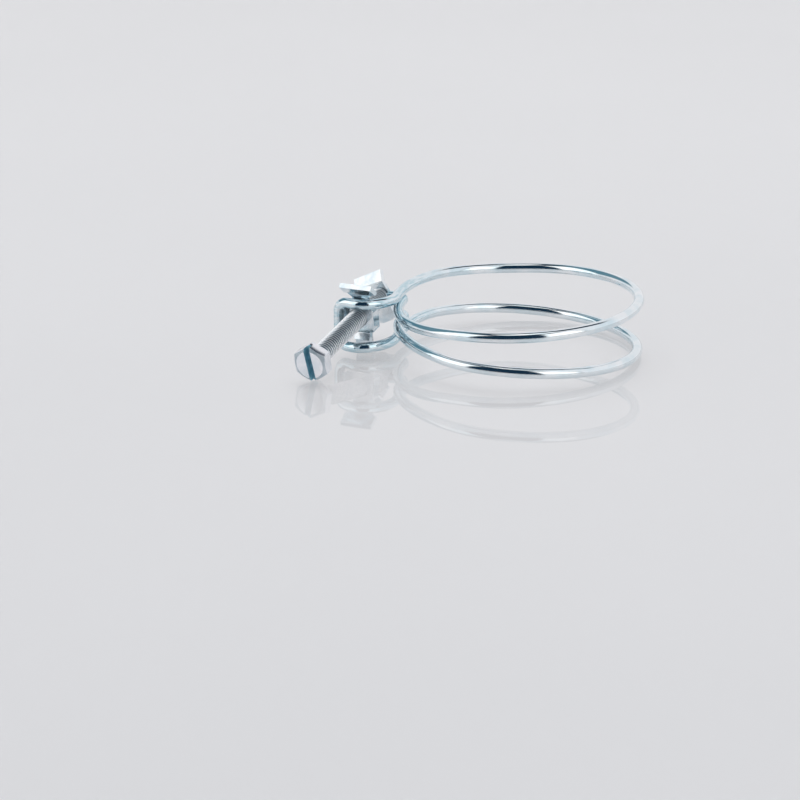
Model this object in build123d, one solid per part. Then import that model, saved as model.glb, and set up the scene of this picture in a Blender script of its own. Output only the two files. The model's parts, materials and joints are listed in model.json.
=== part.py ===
from build123d import *

import math
import os

# Double wire hose clamp for a hose of about 70 mm outside diameter, zinc plated steel.
#
# One wire makes both rings and the closed loop beside them.  A slotted hexagon screw runs
# through the nut plate, which the closed loop holds, and its tip bears on the pressure
# plate, which the two hooked wire ends hold.  The wires cross in between, so the rings
# draw tight when the screw pushes the plates apart.
#
# Frame, in millimetres: +Z is up and lies along the hose, the origin is on the hose axis
# at the level of the surface that the clamp lies on, and the screw is on the -X side.

# --- wire and rings -----------------------------------------------------------------
WIRE_D = 3.2
WIRE_END_CHAMFER = 0.4
RING_R = 36.5  # to the middle of the wire
UPPER_RING = (15.71, 0.049, 0.016)  # height on the hose axis, rise along X and along Y
LOWER_RING = (3.74, -0.055, -0.020)
UPPER_SPAN = (245.0, 440.0)  # degrees over which the ring is flat, front strand first
LOWER_SPAN = (242.0, 488.0)

# --- outer strands and the closed loop ----------------------------------------------
UPPER_OUTER = ((94.0, 16.4), (108.0, 16.53), (122.0, 16.8), (138.0, 16.85), (158.0, 16.6))  # degrees round the hose, height
LOWER_OUTER = ((143.0, 4.5), (158.0, 4.1))
LOOP_X, LOOP_Y = -46.0, 2.4  # centre of the arc that both arms follow
LOOP_R = 9.0
UPPER_ARM = ((360.0, 16.5), (270.0, 16.45), (246.0, 16.45))  # degrees round the arc, height
LOWER_ARM = ((360.0, 3.65), (270.0, 3.0), (237.0, 2.75))
UPPER_REACH, LOWER_REACH = 5.9, 4.9  # from the ends of the arcs to the upright between them
LOOP_CORNER_R = 3.2

# --- inner strands and the hooked ends ----------------------------------------------
UPPER_INNER = ((232.0, 13.92), (218.0, 13.27), (204.0, 12.91), (190.0, 12.87), (178.0, 13.02), (166.0, 13.25))
LOWER_INNER = ((230.0, 5.92), (217.0, 6.72), (204.0, 7.35), (190.0, 7.71), (177.0, 7.79), (163.8, 7.71))
HOOK_R = 3.1
HOOK_END = 6.0  # from the screw axis to the cut end of the wire

# --- screw, M6 x 45, slotted hexagon head, threaded for its whole length -------------
SCREW_D = 6.0
SCREW_LENGTH = 45.0
SCREW_ENTRY = (-48.8, -2.4, 11.1)  # where the axis meets the near face of the nut plate
SCREW_HEADING = 24.9  # degrees from +Y towards +X
SCREW_RISE = 10.15  # degrees, from the head up to the tip
SCREW_IN_FRONT = 28.8  # from under the head to the nut plate
TIP_CHAMFER = 0.8
HEAD_AF = 10.0
HEAD_H = 4.0
HEAD_TURN = -3.4  # degrees about the screw, of a corner of the hexagon away from upright
HEAD_CONE_DEG = 30.0
HEAD_FACE_D = 8.6
SLOT_W = 2.0
SLOT_DEPTH = 2.0
SLOT_TURN = -4.5  # degrees about the screw, from the corner of the hexagon

# --- nut plate: X to the left and Y up, seen from the screw head ---------------------
RUNNING_FIT = 0.05  # between screw and nut plate, on the radius
SHEET = 1.5
NUT_THICK = 4.2
NUT_HALF_W = 5.2
NUT_BOTTOM, NUT_SHOULDER, NUT_CROWN = -4.7, 3.4, 4.9
NECK_HALF_W = 2.6
FLARE_START, FLARE_HALF_W = 7.0, 4.2  # the neck widens from here up to the lip
LIP_START, LIP_LENGTH, LIP_HALF_W, LIP_DEG = 8.2, 4.0, 5.2, 45.0
FOOT_START, FOOT_LENGTH, FOOT_DEG = -4.8, 2.2, 35.0
NECK_SHIFT = -1.2  # the neck and the lip stand to the right of the bore
NUT_CORNER_R = 1.2
NUT_EDGE_R = 0.4
BEND_R = 0.6  # inside the bend

# --- pressure plate, in the same sense but rolled about the screw ---------------------
TIP_TO_PLATE = 0.1
PLATE_CENTRE = (1.75, -1.4)
PLATE_ROLL = -26.5
PLATE_HALF_W = 3.5
PLATE_BOTTOM, PLATE_SHOULDER = -8.0, 0.6
PLATE_LIP_START, PLATE_LIP_LENGTH, PLATE_LIP_HALF_W, PLATE_LIP_DEG = 4.9, 3.8, 5.3, 37.0
PLATE_CORNER_R = 2.0
WIRE_TO_PLATE = 0.15  # between the hooks and the plate they hold


def screw_plane(along):
    """Across the screw, this far past the near face of the nut plate: X left, Y up."""
    heading, rise = math.radians(SCREW_HEADING), math.radians(SCREW_RISE)
    level = math.cos(rise)
    axis = Vector(math.sin(heading) * level, math.cos(heading) * level, math.sin(rise))
    left = Vector(-math.cos(heading), math.sin(heading), 0)
    return Plane(origin=Vector(*SCREW_ENTRY) + axis * along, x_dir=left, z_dir=axis)


def on_ring(ring, degrees):
    x = RING_R * math.cos(math.radians(degrees))
    y = RING_R * math.sin(math.radians(degrees))
    return Vector(x, y, ring[0] + ring[1] * x + ring[2] * y)


def stations(centre_x, centre_y, radius, heights):
    """Points on an upright cylinder, each given by its angle and its height."""
    points = []
    for degrees, z in heights:
        turn = math.radians(degrees)
        points.append(Vector(centre_x + radius * math.cos(turn), centre_y + radius * math.sin(turn), z))
    return points


def smooth_chain(start, tangent, points):
    """Arcs through the points, each one starting in the direction the last one ended."""
    edges = []
    for point in points:
        edges.append(TangentArc(start, point, tangent=tangent))
        start, tangent = edges[-1] @ 1, edges[-1] % 1
    return edges


def ring_arc(ring, span):
    first, last = span
    return ThreePointArc(*[on_ring(ring, degrees) for degrees in (first, (first + last) / 2, last)])


def outer_strand(arc, crossing, arm):
    points = stations(0, 0, RING_R, crossing) + stations(LOOP_X, LOOP_Y, LOOP_R, arm)
    return smooth_chain(arc @ 1, arc % 1, points)


def inner_strand(arc, crossing):
    """From the front of a ring to its cut end, hooked square behind the pressure plate."""
    edges = smooth_chain(arc @ 0, (arc % 0) * -1, stations(0, 0, RING_R, crossing))
    start, tangent = edges[-1] @ 1, edges[-1] % 1
    back = screw_plane(SCREW_LENGTH - SCREW_IN_FRONT + TIP_TO_PLATE + SHEET + WIRE_TO_PLATE + WIRE_D / 2)
    reach = (back.origin - start).dot(back.z_dir) / tangent.dot(back.z_dir)
    corner = start + tangent * reach
    end = corner + back.x_dir * (HOOK_END - (corner - back.origin).dot(back.x_dir))
    edges.extend(FilletPolyline(start, corner, end, radius=HOOK_R).edges())
    return edges


def wire_path():
    upper, lower = ring_arc(UPPER_RING, UPPER_SPAN), ring_arc(LOWER_RING, LOWER_SPAN)
    upper_arm = outer_strand(upper, UPPER_OUTER, UPPER_ARM)
    lower_arm = outer_strand(lower, LOWER_OUTER, LOWER_ARM)
    top, bottom = upper_arm[-1], lower_arm[-1]
    corners = (top @ 1 + (top % 1) * UPPER_REACH, bottom @ 1 + (bottom % 1) * LOWER_REACH)
    closing = FilletPolyline(top @ 1, *corners, bottom @ 1, radius=LOOP_CORNER_R)
    edges = inner_strand(upper, UPPER_INNER) + [upper] + upper_arm + closing.edges()
    edges += lower_arm + [lower] + inner_strand(lower, LOWER_INNER)
    return Wire(edges)


def make_wire():
    path = wire_path()
    section = Plane(origin=path @ 0, z_dir=path % 0) * Circle(WIRE_D / 2)
    wire = sweep(section, path=path)
    return chamfer(wire.faces().filter_by(GeomType.PLANE).edges(), WIRE_END_CHAMFER)


def far_side(points):
    """Corners of the far side of a sheet whose near side has these, given as (Y, Z)."""
    runs = [(Vector(*end) - Vector(*start)).normalized() for start, end in zip(points, points[1:])]
    normals = [Vector(-run.Y, run.X) for run in runs]
    mitres = [(before + after) / (1 + before.dot(after)) for before, after in zip(normals, normals[1:])]
    offsets = [normals[0]] + mitres + [normals[-1]]
    return [Vector(*point) + offset * SHEET for point, offset in zip(points, offsets)]


def bent_sheet(points, near_r, far_r, half_outline):
    """Sheet bent to (Y, Z) points and cut to half an (X, Y) outline and its mirror image."""
    near = FilletPolyline(*points, radius=near_r)
    far = FilletPolyline(*far_side(points), radius=far_r)
    edges = near.edges() + far.edges() + [Line(near @ 0, far @ 0), Line(near @ 1, far @ 1)]
    bent = extrude(Plane.YZ * make_face(edges), amount=2 * HEAD_AF, both=True)
    mirrored = [(-x, y) for x, y in reversed(half_outline)]
    outline = make_face(Polyline(*half_outline, *mirrored, close=True))
    return bent & extrude(outline, amount=2 * HEAD_AF, both=True)


def lip_end(start, length, degrees):
    turn = math.radians(degrees)
    return start + length * math.cos(turn), length * math.sin(turn)


def make_nut_plate():
    lip_y, lip_z = lip_end(LIP_START, LIP_LENGTH, LIP_DEG)
    foot_y, foot_z = lip_end(-FOOT_START, FOOT_LENGTH, FOOT_DEG)
    neck = ((NECK_HALF_W, -2 * HEAD_AF), (NECK_HALF_W, FLARE_START), (FLARE_HALF_W, LIP_START))
    lip = ((LIP_HALF_W, LIP_START), (LIP_HALF_W, 2 * HEAD_AF))
    side = ((-foot_y, -foot_z), (FOOT_START, 0), (LIP_START, 0), (lip_y, -lip_z))
    sheet = Pos(NECK_SHIFT, 0, 0) * bent_sheet(side, BEND_R, BEND_R + SHEET, neck + lip)

    body_h = NUT_SHOULDER - NUT_BOTTOM
    middle = (NUT_SHOULDER + NUT_BOTTOM) / 2
    body = extrude(Pos(0, middle) * RectangleRounded(2 * NUT_HALF_W, body_h, NUT_CORNER_R), amount=NUT_THICK)
    body = fillet(body.faces().filter_by(Axis.Z).edges(), NUT_EDGE_R)
    on_near_side = (Align.CENTER, Align.MIN, Align.MIN)
    crown = Pos(NECK_SHIFT, 0, 0) * Box(2 * NECK_HALF_W, NUT_CROWN, NUT_THICK, align=on_near_side)
    crown = fillet(crown.edges().group_by(Axis.Y)[-1].filter_by(Axis.X).group_by(Axis.Z)[-1], NUT_EDGE_R)
    place = screw_plane(0)
    tongue_end = -place.origin.Z / place.y_dir.Z
    tongue = Pos(NECK_SHIFT, tongue_end, 0) * Box(2 * NECK_HALF_W, -tongue_end, SHEET, align=on_near_side)
    bore = Cylinder(SCREW_D / 2 + RUNNING_FIT, 4 * NUT_THICK)
    return place * (sheet + body + crown + tongue - bore)


def make_pressure_plate():
    lip_y, lip_z = lip_end(PLATE_LIP_START, PLATE_LIP_LENGTH, PLATE_LIP_DEG)
    body = ((PLATE_HALF_W, PLATE_BOTTOM), (PLATE_HALF_W, PLATE_SHOULDER))
    top = ((PLATE_LIP_HALF_W, PLATE_SHOULDER), (PLATE_LIP_HALF_W, 2 * HEAD_AF))
    side = ((PLATE_BOTTOM, 0), (PLATE_LIP_START, 0), (lip_y, lip_z))
    plate = bent_sheet(side, BEND_R + SHEET, BEND_R, body + top)
    corners = plate.edges().filter_by(Axis.Z).group_by(Axis.Y)[0]
    plate = fillet(corners, PLATE_CORNER_R)
    plane = screw_plane(SCREW_LENGTH - SCREW_IN_FRONT + TIP_TO_PLATE)
    return plane * Pos(*PLATE_CENTRE) * Rot(0, 0, PLATE_ROLL) * plate


def make_screw():
    from_under_head = (Align.CENTER, Align.CENTER, Align.MIN)
    threaded = Cylinder(SCREW_D / 2, SCREW_LENGTH, align=from_under_head)
    threaded = chamfer(threaded.edges().group_by(Axis.Z)[-1], TIP_CHAMFER)
    hexagon = extrude(Rot(0, 0, 90) * RegularPolygon(HEAD_AF / math.sqrt(3), 6), amount=-HEAD_H)
    cone_r = HEAD_FACE_D / 2 + HEAD_H / math.tan(math.radians(HEAD_CONE_DEG))
    rim = Pos(0, 0, -HEAD_H) * Cone(HEAD_FACE_D / 2, cone_r, HEAD_H, align=from_under_head)
    slot = Pos(0, 0, -HEAD_H) * Rot(0, 0, SLOT_TURN) * Box(SLOT_W, 2 * HEAD_AF, 2 * SLOT_DEPTH)
    head = Rot(0, 0, HEAD_TURN) * ((hexagon & rim) - slot)
    return screw_plane(-SCREW_IN_FRONT) * (threaded + head)


os.makedirs("parts", exist_ok=True)
export_step(make_wire(), "parts/wire.step")
export_step(make_nut_plate(), "parts/nut_plate.step")
export_step(make_pressure_plate(), "parts/pressure_plate.step")
export_step(make_screw(), "parts/screw.step")
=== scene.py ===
import json
import math

import bmesh
import bpy
from mathutils import Matrix, Vector


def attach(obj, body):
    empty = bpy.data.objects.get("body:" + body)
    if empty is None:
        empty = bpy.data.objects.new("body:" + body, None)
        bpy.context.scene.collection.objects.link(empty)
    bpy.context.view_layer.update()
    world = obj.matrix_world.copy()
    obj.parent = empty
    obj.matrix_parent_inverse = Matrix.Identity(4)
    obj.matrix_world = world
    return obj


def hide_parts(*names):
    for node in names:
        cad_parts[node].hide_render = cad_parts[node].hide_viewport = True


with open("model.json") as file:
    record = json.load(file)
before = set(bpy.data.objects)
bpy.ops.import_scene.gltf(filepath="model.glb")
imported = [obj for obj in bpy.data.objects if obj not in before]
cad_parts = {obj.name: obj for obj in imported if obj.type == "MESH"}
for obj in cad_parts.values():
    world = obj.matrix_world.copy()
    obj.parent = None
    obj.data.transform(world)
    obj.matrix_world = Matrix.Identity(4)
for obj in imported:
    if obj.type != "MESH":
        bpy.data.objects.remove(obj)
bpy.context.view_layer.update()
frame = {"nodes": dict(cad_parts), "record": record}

# Everything is in metres, in the frame of the CAD model.
MM = 0.001

# --- camera, as in the photograph -----------------------------------------------------
CAMERA_AT = Vector((-36.0, -616.2, 190.9)) * MM
CAMERA_PITCH = 18.56  # degrees below the level
CAMERA_LENS = 94.6  # mm
CAMERA_SENSOR = 36  # mm wide
CAMERA_CLIP = (0.01, 20)

# --- screw, M6 x 45, in its own frame: Z from under the head to the tip ---------------
THREAD_PITCH = 1.0 * MM
THREAD_CREST_R = 2.97 * MM
THREAD_ROOT_R = 2.42 * MM
THREAD_END = 45.0 * MM
RUN_OUT = 1.6 * MM  # between the head and the first full thread
NECK_R = 2.72 * MM
TIP_R = 2.15 * MM
HEAD_AF = 10.0 * MM
HEAD_H = 4.0 * MM
HEAD_FACE_R = 4.3 * MM
HEAD_CONE_DEG = 30.0
HEAD_TURN = -3.4  # degrees
SLOT_W = 2.0 * MM
SLOT_DEPTH = 2.0 * MM
SLOT_TURN = -4.5  # degrees, from the corner of the hexagon
SCREW_IN_FRONT = 28.8 * MM  # from under the head to the joint's own point
STEPS_PER_TURN = 40
STEPS_ROUND_HEAD = 96
SHANK_START = -0.25 * HEAD_H  # the shank begins inside the head

# One pitch of thread, as shares of the pitch: the root, then the flank up to the crest
# and, past a narrow crest, an equal flank down. The root and the lower part of each flank
# get painted shade, dark strips in place of the shade in the thread, so that it reads as fine
# lines.
THREAD_ROOT = 0.16
THREAD_FLANK = 0.40
THREAD_PROFILE = (0.0, 0.16, 0.28, 0.40, 0.56, 0.60, 0.74, 0.88)
PAINTED_SHADE_STRIPS = (0, 1, 2, 7)

# --- soft edges and shading -------------------------------------------------------------
PLATE_EDGE = 0.16 * MM
PLATE_EDGE_FROM = 38  # degrees, the least angle that is softened
HEAD_EDGE = 0.14 * MM
HEAD_EDGE_FROM = 24
HEAD_SHARP_FROM = 28  # degrees, the least angle that shades as an edge
SHANK_SHARP_FROM = 25
EDGE_SEGMENTS = 3
WELD_WITHIN = 0.002 * MM
THREAD_WELD_WITHIN = 0.0005 * MM


# --- node materials ---------------------------------------------------------------------
def new_material(name):
    material = bpy.data.materials.new(name)
    material.use_nodes = True
    tree = material.node_tree
    tree.nodes.clear()
    shader = tree.nodes.new("ShaderNodeBsdfPrincipled")
    output = tree.nodes.new("ShaderNodeOutputMaterial")
    tree.links.new(shader.outputs[0], output.inputs[0])
    return material, tree, shader


def add_node(tree, kind, inputs=None, **settings):
    """A node with its settings and, by socket name or number, its values or links."""
    node = tree.nodes.new(kind)
    for key, value in settings.items():
        setattr(node, key, value)
    for key, value in (inputs or {}).items():
        if isinstance(value, bpy.types.NodeSocket):
            tree.links.new(value, node.inputs[key])
        else:
            node.inputs[key].default_value = value
    return node


def object_position(tree):
    return add_node(tree, "ShaderNodeTexCoord").outputs["Object"]


def noise(tree, where, scale, detail):
    settings = {"Vector": where, "Scale": scale, "Detail": detail}
    return add_node(tree, "ShaderNodeTexNoise", settings).outputs[0]


def remap(tree, value, span, onto=(0.0, 1.0), smooth=False):
    """The value with its span laid onto another one, and held at both ends."""
    settings = {0: value, 1: span[0], 2: span[1], 3: onto[0], 4: onto[1]}
    kind = "SMOOTHSTEP" if smooth else "LINEAR"
    node = add_node(tree, "ShaderNodeMapRange", settings, interpolation_type=kind)
    return node.outputs[0]


def calculate(tree, operation, *values):
    settings = dict(enumerate(values))
    node = add_node(tree, "ShaderNodeMath", settings, operation=operation)
    return node.outputs[0]


def mix_colours(tree, share, first, second):
    """The first colour where the share is 0, the second where it is 1."""
    settings = {0: share, 6: first, 7: second}
    return add_node(tree, "ShaderNodeMix", settings, data_type="RGBA").outputs[2]


FILM_EDGE = (0.34, 0.62)  # of the noise: below is all dark film, above all light
MARKS_SPAN = (0.3, 0.7)  # of the noise
MARKS_DULL = (0.75, 1.35)  # times the roughness
MARKS_DEPTH = 0.02 * MM


def zinc(name, light, dark, patch, roughness, grain_size, grain, metallic=1.0):
    """Bright zinc plate: a bluish film in soft patches, fine grain and handling marks."""
    material, tree, shader = new_material(name)
    where = object_position(tree)
    film = add_node(tree, "ShaderNodeValToRGB", {0: noise(tree, where, 1 / patch, 3.0)})
    for element, position, colour in zip(
        film.color_ramp.elements, FILM_EDGE, (dark, light)
    ):
        element.position = position
        element.color = (*colour, 1)
    tree.links.new(film.outputs[0], shader.inputs["Base Color"])

    marks = noise(tree, where, 1 / grain_size, 4.0)
    dull = remap(tree, marks, MARKS_SPAN, tuple(roughness * k for k in MARKS_DULL))
    tree.links.new(dull, shader.inputs["Roughness"])
    relief = {"Height": marks, "Strength": grain, "Distance": MARKS_DEPTH}
    bump = add_node(tree, "ShaderNodeBump", relief)
    tree.links.new(bump.outputs[0], shader.inputs["Normal"])
    shader.inputs["Metallic"].default_value = metallic
    return material


# Painted reflection: a bluish tint laid over the wire's colour towards the loop.
PAINTED_BLUE_REFLECTION = (0.54, 0.71, 0.78, 1)
BLUE_FROM_X = -20 * MM
BLUE_FULL_X = -36 * MM
STREAK_STRETCH = (0.35, 0.35, 3.0)
STREAK_SCALE = 700.0
STREAK_SPAN = (0.42, 0.58)  # of the noise
STREAK_SHARE = (0.25, 1.0)  # of the blue film


def paint_blue_reflection_near_loop(material):
    """Painted bluish reflection on the wire, in fine streaks, towards the loop where the
    strands cross.
    """
    tree = material.node_tree
    shader = next(node for node in tree.nodes if node.type == "BSDF_PRINCIPLED")
    film = shader.inputs["Base Color"].links[0].from_socket
    where = object_position(tree)
    x = add_node(tree, "ShaderNodeSeparateXYZ", {0: where}).outputs[0]
    near = remap(tree, x, (BLUE_FROM_X, BLUE_FULL_X), smooth=True)
    stretch = {"Vector": where, "Scale": STREAK_STRETCH}
    stretched = add_node(tree, "ShaderNodeMapping", stretch).outputs[0]
    streaks = noise(tree, stretched, STREAK_SCALE, 3.0)
    sharp = remap(tree, streaks, STREAK_SPAN, STREAK_SHARE)
    share = calculate(tree, "MULTIPLY", near, sharp)
    blue = mix_colours(tree, share, film, PAINTED_BLUE_REFLECTION)
    tree.links.new(blue, shader.inputs["Base Color"])


WIRE_ZINC = zinc(
    "wire_zinc", light=(0.88, 0.91, 0.93), dark=(0.70, 0.81, 0.86),
    patch=9 * MM, roughness=0.09, grain_size=0.5 * MM, grain=0.2,
)
paint_blue_reflection_near_loop(WIRE_ZINC)
PLATE_ZINC = zinc(
    "plate_zinc", light=(0.84, 0.87, 0.89), dark=(0.62, 0.72, 0.78),
    patch=3.5 * MM, roughness=0.17, grain_size=0.35 * MM, grain=0.4,
)
SCREW_ZINC = zinc(
    "screw_zinc", light=(0.93, 0.93, 0.96), dark=(0.80, 0.85, 0.90),
    patch=4 * MM, roughness=0.16, grain_size=0.3 * MM, grain=0.3,
)
# Painted shade: a darker, duller zinc on the head's chamfer in place of the dark reflection
# there.
RIM_PAINTED_SHADE = zinc(
    "rim_painted_shade", light=(0.64, 0.70, 0.75), dark=(0.44, 0.53, 0.59),
    patch=3 * MM, roughness=0.45, grain_size=0.3 * MM, grain=0.3, metallic=0.45,
)
THREAD_ZINC = zinc(
    "thread_zinc", light=(0.98, 0.98, 0.99), dark=(0.88, 0.91, 0.94),
    patch=5 * MM, roughness=0.30, grain_size=0.3 * MM, grain=0.3, metallic=0.7,
)
# Painted shade: a dark zinc colour for the shaded strips of the thread.
THREAD_PAINTED_SHADE = zinc(
    "thread_painted_shade", light=(0.20, 0.28, 0.33), dark=(0.10, 0.16, 0.20),
    patch=4 * MM, roughness=0.42, grain_size=0.3 * MM, grain=0.3,
)
# Painted shade and painted bluish reflection: the faces of the slot are coloured dark teal.
SLOT_PAINTED_SHADE = zinc(
    "slot_painted_shade", light=(0.30, 0.58, 0.70), dark=(0.17, 0.38, 0.48),
    patch=2 * MM, roughness=0.38, grain_size=0.3 * MM, grain=0.3, metallic=0.35,
)


# --- carried-over CAD nodes ---------------------------------------------------------------
def soften_edges(thing, width, from_degrees):
    bevel = thing.modifiers.new("soft_edges", "BEVEL")
    bevel.width = width
    bevel.segments = EDGE_SEGMENTS
    bevel.limit_method = "ANGLE"
    bevel.angle_limit = math.radians(from_degrees)
    return bevel


def dress(node, material, edge=None):
    """A new finish on a CAD node, and softened edges, with its own mesh left as it is."""
    thing = frame["nodes"][node]
    thing.data.materials.clear()
    thing.data.materials.append(material)
    weld = thing.modifiers.new("weld", "WELD")
    weld.merge_threshold = WELD_WITHIN
    if edge:
        bevel = soften_edges(thing, edge, PLATE_EDGE_FROM)
        bevel.harden_normals = True


dress("wire", WIRE_ZINC)
dress("nut_plate", PLATE_ZINC, PLATE_EDGE)
dress("pressure_plate", PLATE_ZINC, PLATE_EDGE)


# --- screw --------------------------------------------------------------------------------
def object_from(name, bm, material):
    mesh = bpy.data.meshes.new(name)
    bm.to_mesh(mesh)
    bm.free()
    mesh.materials.append(material)
    thing = bpy.data.objects.new(name, mesh)
    bpy.context.scene.collection.objects.link(thing)
    return thing


def shade(mesh, degrees):
    """Smooth shading that breaks at edges sharper than this."""
    mesh.polygons.foreach_set("use_smooth", [True] * len(mesh.polygons))
    mesh.set_sharp_from_angle(angle=math.radians(degrees))


def thread_radius(turn, z):
    """Radius at a share of the pitch, faded into the neck and cut by the tip."""
    if turn < THREAD_ROOT:
        r = THREAD_ROOT_R
    elif turn < THREAD_ROOT + THREAD_FLANK:
        up = (THREAD_CREST_R - THREAD_ROOT_R) * (turn - THREAD_ROOT) / THREAD_FLANK
        r = THREAD_ROOT_R + up
    elif turn < 1 - THREAD_FLANK:
        r = THREAD_CREST_R
    else:
        up = (THREAD_CREST_R - THREAD_ROOT_R) * (1 - turn) / THREAD_FLANK
        r = THREAD_ROOT_R + up
    neck = RUN_OUT * 0.5  # a plain neck for the first half, then the thread rises
    full = min(max((z - neck) / neck, 0), 1)
    r = NECK_R + (r - NECK_R) * full
    return min(r, TIP_R + max(THREAD_END - z, 0))


def thread_mesh():
    """The thread as one strip wound round the shank, each turn joined to the next."""
    bm = bmesh.new()
    turns = int(THREAD_END / THREAD_PITCH) + 2
    steps = turns * STEPS_PER_TURN
    rows = []
    for step in range(steps + 1):
        angle = 2 * math.pi * step / STEPS_PER_TURN
        row = []
        for share in THREAD_PROFILE:
            z = THREAD_PITCH * (step / STEPS_PER_TURN - 1 + share)
            z = min(max(z, SHANK_START), THREAD_END)
            r = thread_radius(share, z)
            row.append(bm.verts.new((r * math.cos(angle), r * math.sin(angle), z)))
        rows.append(row)
    for step in range(steps):
        for k in range(len(THREAD_PROFILE)):
            turn_on = step + STEPS_PER_TURN
            if k + 1 < len(THREAD_PROFILE):
                here, there = rows[step][k + 1], rows[step + 1][k + 1]
            elif turn_on + 1 <= steps:
                here, there = rows[turn_on][0], rows[turn_on + 1][0]
            else:
                continue
            strip = bm.faces.new((rows[step][k], rows[step + 1][k], there, here))
            # Painted shade on the dark strips of each turn.
            strip.material_index = 1 if k in PAINTED_SHADE_STRIPS else 0
    bmesh.ops.remove_doubles(bm, verts=bm.verts, dist=THREAD_WELD_WITHIN)
    rims = [edge for edge in bm.edges if edge.is_boundary]
    bmesh.ops.holes_fill(bm, edges=rims, sides=0)
    bmesh.ops.recalc_face_normals(bm, faces=bm.faces)
    return bm


def head_mesh():
    """Hexagon with a corner at the top, its front corners turned off by a cone."""
    bm = bmesh.new()
    face, rim, foot = [], [], []
    for step in range(STEPS_ROUND_HEAD):
        angle = 2 * math.pi * step / STEPS_ROUND_HEAD
        off = (angle + math.pi / 6) % (math.pi / 3) - math.pi / 6
        hexagon_r = HEAD_AF / 2 / math.cos(off)
        x, y = math.sin(angle + math.pi / 6), math.cos(angle + math.pi / 6)
        drop = (hexagon_r - HEAD_FACE_R) * math.tan(math.radians(HEAD_CONE_DEG))
        face.append(bm.verts.new((HEAD_FACE_R * x, HEAD_FACE_R * y, -HEAD_H)))
        rim.append(bm.verts.new((hexagon_r * x, hexagon_r * y, -HEAD_H + drop)))
        foot.append(bm.verts.new((hexagon_r * x, hexagon_r * y, 0)))
    # The chamfer from face to rim gets the painted shade (index 1), the flats the screw zinc
    # (0).
    for a, b, painted_rim_shade in ((face, rim, 1), (rim, foot, 0)):
        for i in range(STEPS_ROUND_HEAD):
            j = (i + 1) % STEPS_ROUND_HEAD
            bm.faces.new((a[i], a[j], b[j], b[i])).material_index = painted_rim_shade
    bm.faces.new(face)
    bm.faces.new(foot)
    bmesh.ops.recalc_face_normals(bm, faces=bm.faces)
    return bm


def bake_modifiers(thing):
    """Applies the object's modifiers to its mesh and leaves none."""
    graph = bpy.context.evaluated_depsgraph_get()
    mesh = bpy.data.meshes.new_from_object(thing.evaluated_get(graph))
    thing.modifiers.clear()
    thing.data = mesh


def slot_cutter():
    turn = Matrix.Rotation(math.radians(SLOT_TURN), 4, "Z")
    size = Matrix.Diagonal((SLOT_W, 2 * HEAD_AF, 2 * SLOT_DEPTH, 1))
    bm = bmesh.new()
    box = Matrix.Translation((0, 0, -HEAD_H)) @ turn @ size
    bmesh.ops.create_cube(bm, size=1, matrix=box)
    return object_from("slot_cutter", bm, SLOT_PAINTED_SHADE)


def make_head():
    head = object_from("screw_head", head_mesh(), SCREW_ZINC)
    head.data.materials.append(RIM_PAINTED_SHADE)
    cutter = slot_cutter()
    cut = head.modifiers.new("slot", "BOOLEAN")
    cut.object = cutter
    cut.operation = "DIFFERENCE"
    cut.solver = "EXACT"
    # The slot's faces take the cutter's material, the painted shade of the slot.
    cut.material_mode = "TRANSFER"
    soften_edges(head, HEAD_EDGE, HEAD_EDGE_FROM)
    bake_modifiers(head)
    bpy.data.objects.remove(cutter)
    shade(head.data, HEAD_SHARP_FROM)
    head.data.transform(Matrix.Rotation(math.radians(HEAD_TURN), 4, "Z"))
    return head


def make_shank():
    shank = object_from("screw_shank", thread_mesh(), THREAD_ZINC)
    shank.data.materials.append(THREAD_PAINTED_SHADE)
    shade(shank.data, SHANK_SHARP_FROM)
    return shank


def screw_place():
    """The screw's own frame, set on its joint in the record."""
    joints = frame["record"]["behaviour"]["joints"]
    joint = next(j for j in joints if j["name"] == "screw_turn")
    axis = -Vector(joint["axis"]).normalized()
    left = Vector((0, 0, 1)).cross(axis).normalized()
    place = Matrix((left, axis.cross(left), axis)).transposed().to_4x4()
    place.translation = Vector(joint["pos_m"]) - axis * SCREW_IN_FRONT
    return place


def make_screw():
    head, shank = make_head(), make_shank()
    place = screw_place()
    for part in (head, shank):
        part.data.transform(place)
        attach(part, "screw")
    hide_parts("screw")
    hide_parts("screw")


make_screw()

# --- table ----------------------------------------------------------------------------------
TABLE_SIZE = 8.0
TABLE_TOP_Z = -0.03 * MM
TABLE_UNDER_Z = -1.7 * MM
TABLE_DARK = (0.42, 0.42, 0.43, 1)
TABLE_LIGHT = (0.45, 0.45, 0.46, 1)
TABLE_GLOW = 0.84


def add_plane(name, z, material):
    bm = bmesh.new()
    bmesh.ops.create_grid(bm, x_segments=1, y_segments=1, size=TABLE_SIZE / 2)
    bmesh.ops.translate(bm, verts=bm.verts, vec=(0, 0, z))
    thing = object_from(name, bm, material)


def table_base():
    """A pale base that glows a little, as the lit sweep in the photo does."""
    material, tree, shader = new_material("table_base")
    cloud = noise(tree, object_position(tree), 3.0, 2.0)
    tone = add_node(tree, "ShaderNodeValToRGB", {0: cloud})
    for element, colour in zip(tone.color_ramp.elements, (TABLE_DARK, TABLE_LIGHT)):
        element.color = colour
    tree.links.new(tone.outputs[0], shader.inputs["Base Color"])
    tree.links.new(tone.outputs[0], shader.inputs["Emission Color"])
    shader.inputs["Emission Strength"].default_value = TABLE_GLOW
    shader.inputs["Roughness"].default_value = 0.10
    shader.inputs["IOR"].default_value = 1.33
    return material


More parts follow.
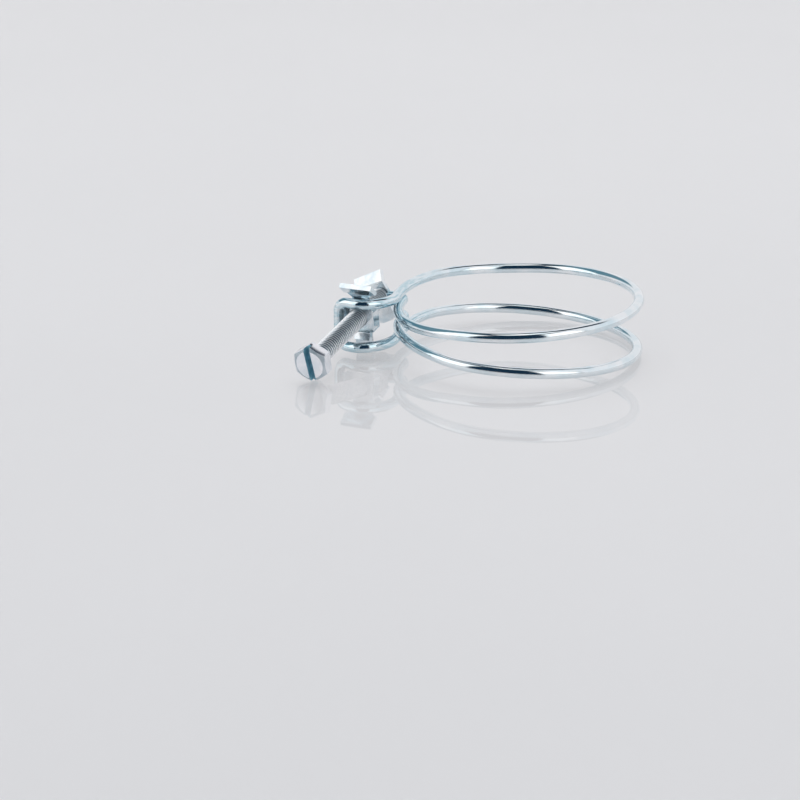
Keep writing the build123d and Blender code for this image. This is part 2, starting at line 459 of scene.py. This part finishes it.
def table_glass():
    """A clear top layer that only adds a faint reflection of its own."""
    material, tree, shader = new_material("table_glass")
    clear = add_node(tree, "ShaderNodeBsdfTransparent").outputs[0]
    gloss = add_node(tree, "ShaderNodeBsdfGlossy", {"Roughness": 0.03}).outputs[0]
    share = add_node(tree, "ShaderNodeFresnel", {"IOR": 1.50}).outputs[0]
    both = add_node(tree, "ShaderNodeMixShader", {0: share, 1: clear, 2: gloss})
    output = next(node for node in tree.nodes if node.type == "OUTPUT_MATERIAL")
    tree.links.new(both.outputs[0], output.inputs[0])
    tree.nodes.remove(shader)
    return material


add_plane("table_top", TABLE_TOP_Z, table_glass())
add_plane("table_under", TABLE_UNDER_Z, table_base())

# --- studio ---------------------------------------------------------------------------------
# Panels, seen from the clamp: azimuth from the camera towards +X and elevation, each as
# low, high and softness in degrees, then colour and strength. A later one covers the rest.
PANELS = (
    ((66, 294, 10), (-95, 34, 7), (0.80, 0.84, 0.86), 0.60),
    ((102, 268, 14), (-95, 47, 7), (0.85, 0.85, 0.87), 1.0),
    ((204, 266, 8), (22, 60, 9), (0.13, 0.25, 0.31), 1.0),
    ((62, 104, 8), (-95, 72, 8), (0.95, 0.97, 1.00), 0.90),
    ((272, 309, 6), (10, 54, 16), (1.0, 1.0, 1.0), 1.30),
    ((24, 54, 6), (10, 54, 16), (1.0, 1.0, 1.0), 1.30),
    ((-5, 365, 1), (77, 95, 3), (1.0, 1.0, 1.0), 1.20),
)
STUDIO_DARK = (0.010, 0.030, 0.055, 1)
OVERHEAD_AT = (0, 0.2, 1.6)
OVERHEAD_SIZE = (1.8, 1.8)
OVERHEAD_POWER = 13


def window(tree, value, low, high, soft):
    """1 between low and high, falling to 0 over soft outside them, all in degrees."""
    low, high, soft = (math.radians(angle) for angle in (low, high, soft))
    rise = remap(tree, value, (low - soft, low), smooth=True)
    fall = remap(tree, value, (high, high + soft), onto=(1.0, 0.0), smooth=True)
    return calculate(tree, "MULTIPLY", rise, fall)


def add_world():
    """A studio: pale behind the object, soft boxes around and above, dark elsewhere."""
    world = bpy.data.worlds.new("studio")
    bpy.context.scene.world = world
    world.use_nodes = True
    tree = world.node_tree
    tree.nodes.clear()
    output = add_node(tree, "ShaderNodeOutputWorld")
    direction = add_node(tree, "ShaderNodeTexCoord").outputs["Generated"]
    x, y, z = add_node(tree, "ShaderNodeSeparateXYZ", {0: direction}).outputs

    to_the_left = calculate(tree, "MULTIPLY", x, -1.0)
    from_behind = calculate(tree, "ARCTAN2", to_the_left, y)
    azimuth = calculate(tree, "ADD", from_behind, math.pi)
    elevation = calculate(tree, "ARCSINE", z)
    dark = add_node(tree, "ShaderNodeRGB")
    dark.outputs[0].default_value = STUDIO_DARK
    colour = dark.outputs[0]
    for around, height, tint, strength in PANELS:
        across = window(tree, azimuth, *around)
        mask = calculate(tree, "MULTIPLY", across, window(tree, elevation, *height))
        lit = tuple(channel * strength for channel in tint)
        colour = mix_colours(tree, mask, colour, (*lit, 1))
    background = add_node(tree, "ShaderNodeBackground", {0: colour, 1: 1.0})
    tree.links.new(background.outputs[0], output.inputs[0])


def add_overhead():
    """A broad soft light from above that metal doesn't mirror."""
    data = bpy.data.lights.new("overhead", "AREA")
    data.shape = "RECTANGLE"
    data.size, data.size_y = OVERHEAD_SIZE
    data.energy = OVERHEAD_POWER
    thing = bpy.data.objects.new("overhead", data)
    thing.location = OVERHEAD_AT
    thing.rotation_mode = "QUATERNION"
    thing.rotation_quaternion = (-Vector(OVERHEAD_AT)).to_track_quat("-Z", "Y")
    thing.visible_glossy = False
    bpy.context.scene.collection.objects.link(thing)


def add_camera():
    data = bpy.data.cameras.new("photo_camera")
    data.lens = CAMERA_LENS
    data.sensor_width = CAMERA_SENSOR
    data.clip_start, data.clip_end = CAMERA_CLIP
    camera = bpy.data.objects.new("photo_camera", data)
    camera.location = CAMERA_AT
    camera.rotation_euler = (math.radians(90 - CAMERA_PITCH), 0, 0)
    bpy.context.scene.collection.objects.link(camera)
    bpy.context.scene.camera = camera


add_world()
add_overhead()
add_camera()
bpy.context.scene.view_settings.view_transform = "Standard"
